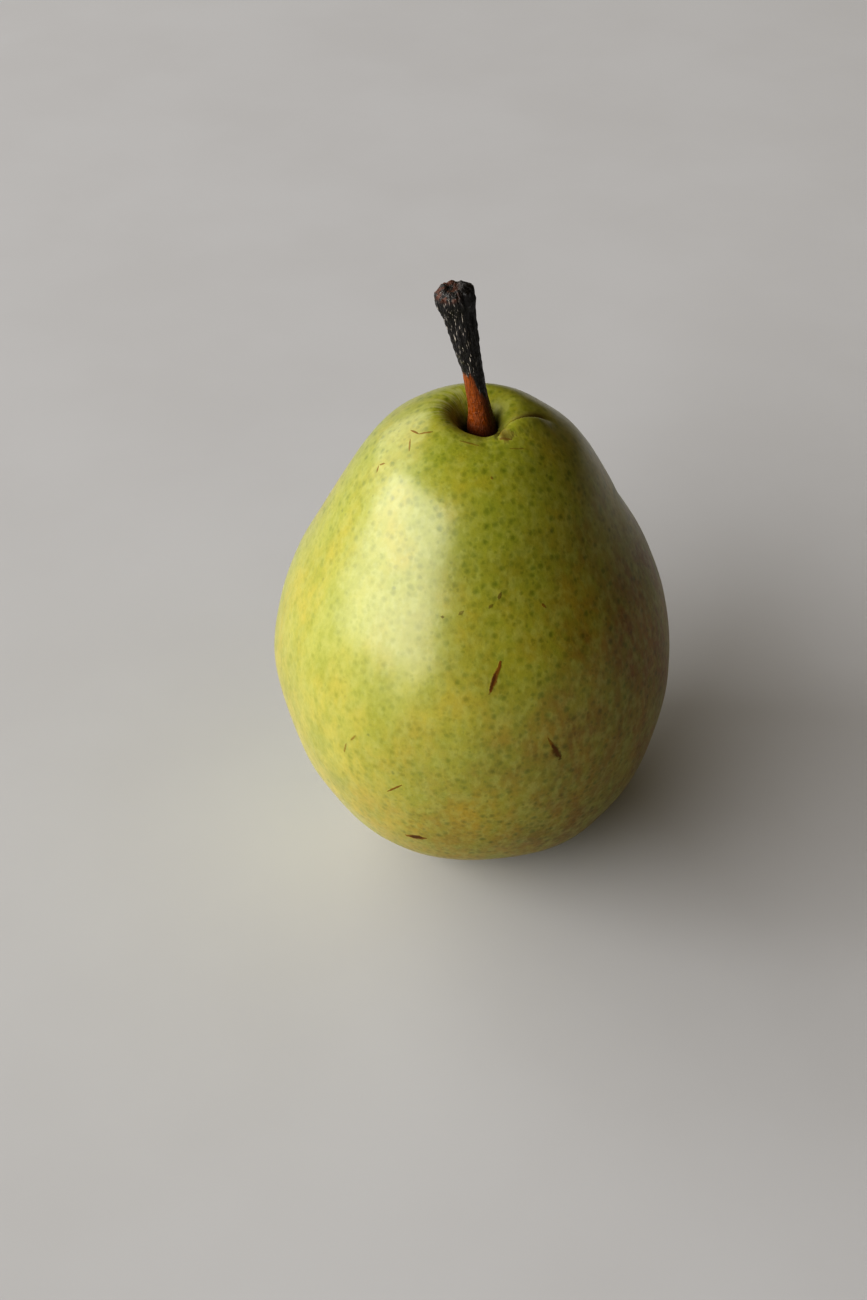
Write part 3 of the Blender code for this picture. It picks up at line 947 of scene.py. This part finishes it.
# %% Close the torn tip
TIP_RINGS = 22
TIP_RISE, TIP_HOLLOW = 0.80, 0.6  # mm
tip = middle[-1]
tip_way = middle[-1] - middle[-2]
tip_way = tip_way / np.linalg.norm(tip_way)
rim = stem_skin[-1]
closing = []
for step in range(1, TIP_RINGS):
    inwards = step / TIP_RINGS
    ring = tip + (rim - tip) * (1 - inwards) ** 0.8
    torn = 0.30 * cloud_at(ring, 1.1, 6) + 0.14 * cloud_at(ring, 0.5, 7)
    lift = TIP_RISE * math.sin(math.pi * min(inwards * 1.8, 1.0) / 2)
    lift -= TIP_HOLLOW * smooth_step(inwards, 0.5, 0.95)
    closing.append(ring + (lift + torn * min(1.0, 4 * inwards))[:, None] * tip_way)
stem_skin = np.concatenate([stem_skin, np.array(closing)])
tip_pole = stem_skin[-1].mean(axis=0)
print("tip closed with", len(closing), "rings")

# %% [markdown]
# ## Bark finish
#
# Two woods meet on a streaky line: charcoal above, orange-brown below. The black reaches lower on
# the right side of the stem. The orange-brown darkens at its foot, and on the right side it is
# painted darker still, as shade on the side away from the light. The torn face shows red-brown wood
# in its creases. The dry bark has dull and glossy spots beside each other, so its roughness is
# mottled. Pale flecks along its ribs are painted highlights, kept away from the shaded right edge.

# %% Recipe for the bark
CHARCOAL = (0.010, 0.009, 0.009)
ASH = (0.055, 0.050, 0.048)
# Fleck colour: painted highlights on the ribs.
FLECK_HIGHLIGHT = (0.52, 0.47, 0.42)
AMBER = (0.250, 0.066, 0.006)
# Dark amber serves for the wood's dark streaks, for its darker foot, and as painted shade on the
# right side.
DARK_AMBER_AND_SHADE = (0.070, 0.016, 0.005)
TORN_WOOD = (0.095, 0.034, 0.018)
STEM_TILT = math.radians(11.5)
# In mm: height of the black's edge, and how far it drops on the right
BLACK_FROM, BLACK_DROP = 101.2, 4.5
TORN_FROM, TORN_TO = 115.4, 116.8


def make_bark():
    material, tree, shader, place = new_material("dried_stem_bark")
    feeds = {"Vector": place, "Center": STEM_LINE[4], "Angle": STEM_TILT}
    straight = add(tree, "VectorRotate", feeds, rotation_type="Y_AXIS").outputs[0]
    parts = add(tree, "SeparateXYZ", {0: straight}).outputs
    to_right = sums(tree, "SUBTRACT", parts[0], STEM_LINE[4][0])

    streaks = use(tree, fibres, Place=straight, Along=5.0, Across=0.5, From=0.3, To=0.7)["Mask"]
    thin = use(tree, fibres, Place=straight, Along=3.0, Across=0.2, From=0.4, To=0.62)["Mask"]
    rib_highlights = use(tree, fibres, Place=straight, Along=2.0, Across=0.22, From=0.60, To=0.68)["Mask"]
    amber = lay_over(tree, times(tree, thin, 0.5), AMBER, DARK_AMBER_AND_SHADE)
    # Painted shade: the orange-brown darkens towards the right side, away from the light.
    amber = lay_over(tree, fade(tree, to_right, 0.0, 1.6, 0.0, 0.85), amber, DARK_AMBER_AND_SHADE)
    amber = lay_over(tree, fade(tree, parts[2], 93.0, 90.0, 0.0, 0.7), amber, DARK_AMBER_AND_SHADE)
    speckle = cloudy(tree, place, 0.5, 4.0, 0.5, 0.75)
    black = lay_over(tree, times(tree, speckle, thin), CHARCOAL, ASH)
    # Pale flecks are painted highlights on the ribs, so they fade out towards the shaded right
    # edge.
    rib_highlights = times(tree, rib_highlights, fade(tree, to_right, 1.4, 0.2))
    black = lay_over(tree, rib_highlights, black, FLECK_HIGHLIGHT)

    edge = fade(tree, to_right, -0.3, 0.9, BLACK_FROM, BLACK_FROM - BLACK_DROP)
    above = sums(tree, "SUBTRACT", parts[2], edge)
    above = plus(tree, above, times(tree, streaks, 1.2))
    colour = lay_over(tree, fade(tree, above, 0.0, 1.1), amber, black)
    torn = fade(tree, parts[2], TORN_FROM, TORN_TO)
    torn = times(tree, torn, fade(tree, to_right, 1.2, -0.4))
    red = cloudy(tree, place, 1.3, 3.0, 0.42, 0.56)
    colour = lay_over(tree, times(tree, torn, red), colour, TORN_WOOD)

    feed(tree, shader.inputs["Base Color"], colour)
    gloss = cloudy(tree, place, 0.7, 2.0, 0.4, 0.6)
    feed(tree, shader.inputs["Roughness"], fade(tree, gloss, 0.0, 1.0, 0.28, 0.62))
    relief = times(tree, thin, 0.05)
    relief = plus(tree, relief, times(tree, speckle, 0.06))
    bump = add(tree, "Bump", {"Strength": 1.0, "Distance": MM, "Height": relief})
    feed(tree, shader.inputs["Normal"], bump.outputs[0])
    return material


bark = make_bark()
stem = loft("woody_stem", stem_skin * MM, middle[0] * MM, tip_pole * MM)
place_on_frame(stem, bark, "stem_bark", "stem")

# %% [markdown]
# ## The dried flower underneath
#
# The pit under the fruit still holds what is left of the flower: five sepals, dry and curled, and
# in the middle a tuft of stamens and styles. A sepal is a thin blade, so it is made as a closed
# loft with a flat section. The blade narrows to a point, its edges roll inwards and noise
# crumples it.

# %% Blades of the sepals
SEPALS = 5
SEPAL_LINE = [(2.2, 6.9), (2.4, 5.2), (2.9, 3.6), (4.0, 2.4), (5.2, 1.9), (6.3, 1.9)]
SEPAL_HALF_WIDTHS = [0.75, 0.95, 1.25, 1.20, 0.80, 0.12]
SEPAL_THICKNESS = 0.36
SEPAL_FIRST_TURN = 18.0  # degrees
SEPAL_TURN_JITTER = [0.0, 5.0, -4.0, 3.0, -6.0]
SEPAL_SPREAD_JITTER = [1.00, 0.93, 1.04, 0.96, 0.90]
BLADE_SIDES = 40
BLADE_STEP = 0.10
MIDRIB_HEIGHT, MIDRIB_WIDTH = 0.10, 0.18  # mm, share of the half width
EDGE_ROLL = 0.42


def make_sepal(number, material):
    spread = SEPAL_SPREAD_JITTER[number]
    root = SEPAL_LINE[0][0]
    line = []
    for (reach, height), half_width in zip(SEPAL_LINE, SEPAL_HALF_WIDTHS):
        line.append((root + (reach - root) * spread, 0.0, height, half_width))
    shape = respace(smooth_line(line), evenly(BLADE_STEP))
    middle, half = shape[:, :3], shape[:, 3]
    along = np.gradient(middle, axis=0)
    along /= np.linalg.norm(along, axis=1, keepdims=True)
    sideways = np.array((0.0, 1.0, 0.0))
    face = np.cross(sideways, along)
    share = np.linspace(0, 1, len(middle))
    thick = SEPAL_THICKNESS / 2 * (1 - 0.6 * share)
    turn = np.linspace(0, 2 * np.pi, BLADE_SIDES, endpoint=False)
    across, deep = np.cos(turn), np.sin(turn)
    width = half[:, None] * across[None, :]
    midrib = MIDRIB_HEIGHT * bell(across, MIDRIB_WIDTH) * (deep > 0)
    depth = thick[:, None] * deep[None, :] + midrib[None, :]
    depth = depth + EDGE_ROLL * half[:, None] * across[None, :] ** 2
    blade = middle[:, None] + width[..., None] * sideways + depth[..., None] * face[:, None]
    # Both sides of the blade crumple alike, so the noise ignores which side a point is on.
    sheet = middle[:, None] + width[..., None] * sideways
    crumple = 0.16 * cloud_at(sheet, 0.9, 10 + number) + 0.05 * cloud_at(sheet, 0.35, 20 + number)
    blade = blade + (crumple * smooth_step(share, 0.0, 0.3)[:, None])[..., None] * face[:, None]
    angle = math.radians(SEPAL_FIRST_TURN + 360 / SEPALS * number + SEPAL_TURN_JITTER[number])
    spin = np.array(Euler((0, 0, angle)).to_matrix())
    blade = blade @ spin.T * MM
    sepal = loft(f"dried_sepal_{number + 1}", blade, blade[0].mean(axis=0), blade[-1].mean(axis=0))
    place_on_frame(sepal, material, "dried_calyx", f"sepal_{number + 1}")


# %% [markdown]
# ## Dry leaf finish
#
# Sepals and stamens dry to the same brown, lighter on the raised fibres and nearly black in the
# creases, and they are matt.

# %% Recipe for the dried flower
DRY_BROWN = (0.16, 0.085, 0.040)
DRY_DARK = (0.030, 0.016, 0.010)
DRY_PALE = (0.34, 0.23, 0.12)


def make_dry_leaf():
    material, tree, shader, place = new_material("dried_calyx_leaf")
    blotch = cloudy(tree, place, 1.2, 4.0, 0.35, 0.65)
    veins = use(tree, fibres, Place=place, Along=2.0, Across=0.18, From=0.45, To=0.65)["Mask"]
    colour = lay_over(tree, blotch, DRY_BROWN, DRY_DARK)
    colour = lay_over(tree, times(tree, veins, 0.6), colour, DRY_PALE)
    feed(tree, shader.inputs["Base Color"], colour)
    feed(tree, shader.inputs["Roughness"], fade(tree, blotch, 0.0, 1.0, 0.65, 0.9))
    bump = add(tree, "Bump", {"Strength": 1.0, "Distance": 0.05 * MM, "Height": veins})
    feed(tree, shader.inputs["Normal"], bump.outputs[0])
    return material


dry_leaf = make_dry_leaf()
for number in range(SEPALS):
    make_sepal(number, dry_leaf)

# %% [markdown]
# ## Stamens
#
# The tuft is a bundle of fine threads, each a thin tube that bends its own way, some of them with
# the dry knob of an anther at the end. The threads all start inside the flesh at the top of the
# pit. They are one object, because they have stuck together.

# %% Threads of the tuft
THREADS = 19
THREAD_SIDES, THREAD_BENDS = 8, 5
THREAD_RADIUS, ANTHER_RADIUS = 0.11, 0.17  # mm
PIT_TOP, TUFT_LENGTH = 8.6, 5.6
GOLDEN_ANGLE = math.radians(137.5)


def thread(number):
    """One thread: rings of points in mm, from the pit's top down to its tip."""
    share = (number + 0.5) / THREADS
    angle = number * GOLDEN_ANGLE
    reach = 0.95 * math.sqrt(share)
    length = TUFT_LENGTH * (1.0 - 0.35 * noise.noise(Vector((number * 1.7, 0.3, 0.1))))
    bend = [noise.noise(Vector((number * 0.9, k * 3.1, 4.2))) for k in range(4)]
    points = []
    for k in range(THREAD_BENDS + 1):
        t = k / THREAD_BENDS
        out = reach * (0.55 + 0.55 * t)
        x = out * math.cos(angle) + 0.35 * t * bend[0] + 0.2 * math.sin(5 * t) * bend[2]
        y = out * math.sin(angle) + 0.35 * t * bend[1] + 0.2 * math.sin(5 * t) * bend[3]
        has_anther = number % 2 and k == THREAD_BENDS
        thickness = ANTHER_RADIUS if has_anther else THREAD_RADIUS - 0.04 * t
        points.append((x, y, PIT_TOP - length * t, thickness))
    shape = smooth_line(points, 5)
    turn = np.linspace(0, 2 * np.pi, THREAD_SIDES, endpoint=False)
    circle = np.stack([np.cos(turn), np.sin(turn), 0 * turn], axis=-1)
    return shape[:, None, :3] + shape[:, None, 3:4] * circle[None]


def make_tuft(material):
    points, faces = [], []
    for number in range(THREADS):
        rings = thread(number)
        rows = len(rings)
        base = len(points)
        points += (rings.reshape(-1, 3) * MM).tolist()
        for row in range(rows - 1):
            for i in range(THREAD_SIDES):
                j = (i + 1) % THREAD_SIDES
                low, up = base + row * THREAD_SIDES, base + (row + 1) * THREAD_SIDES
                faces.append((low + j, low + i, up + i, up + j))
        faces.append(tuple(base + i for i in range(THREAD_SIDES)))
        last = base + (rows - 1) * THREAD_SIDES
        faces.append(tuple(last + i for i in reversed(range(THREAD_SIDES))))
    tuft = new_object("dried_stamens", points, faces)
    place_on_frame(tuft, material, "dried_calyx", "stamen_tuft")


make_tuft(dry_leaf)

# %% [markdown]
# ## Table
#
# A plain pale surface catches the shadow. It isn't part of the pear, so it is left out of the
# pear's body. Even a plain surface has a little unevenness, which keeps it from looking computed.

# %% Floor
FLOOR_SIZE = 6.0  # m
FLOOR_TONE, FLOOR_SHADE = (0.545, 0.553, 0.577), (0.528, 0.534, 0.555)
FLOOR_SHINE = 0.05


def make_floor():
    half = FLOOR_SIZE / 2
    corners = [(-half, -half, 0), (half, -half, 0), (half, half, 0), (-half, half, 0)]
    floor = new_object("pale_table", corners, [(0, 1, 2, 3)])
    material, tree, shader, place = new_material("pale_matt_table")
    drift = cloudy(tree, place, 60.0)
    feed(tree, shader.inputs["Base Color"], lay_over(tree, drift, FLOOR_TONE, FLOOR_SHADE))
    feed(tree, shader.inputs["Roughness"], fade(tree, drift, 0.0, 1.0, 0.75, 0.85))
    shader.inputs["Specular IOR Level"].default_value = FLOOR_SHINE
    floor.data.materials.append(material)
    return floor


make_floor()
print("floor is", FLOOR_SIZE, "m square")
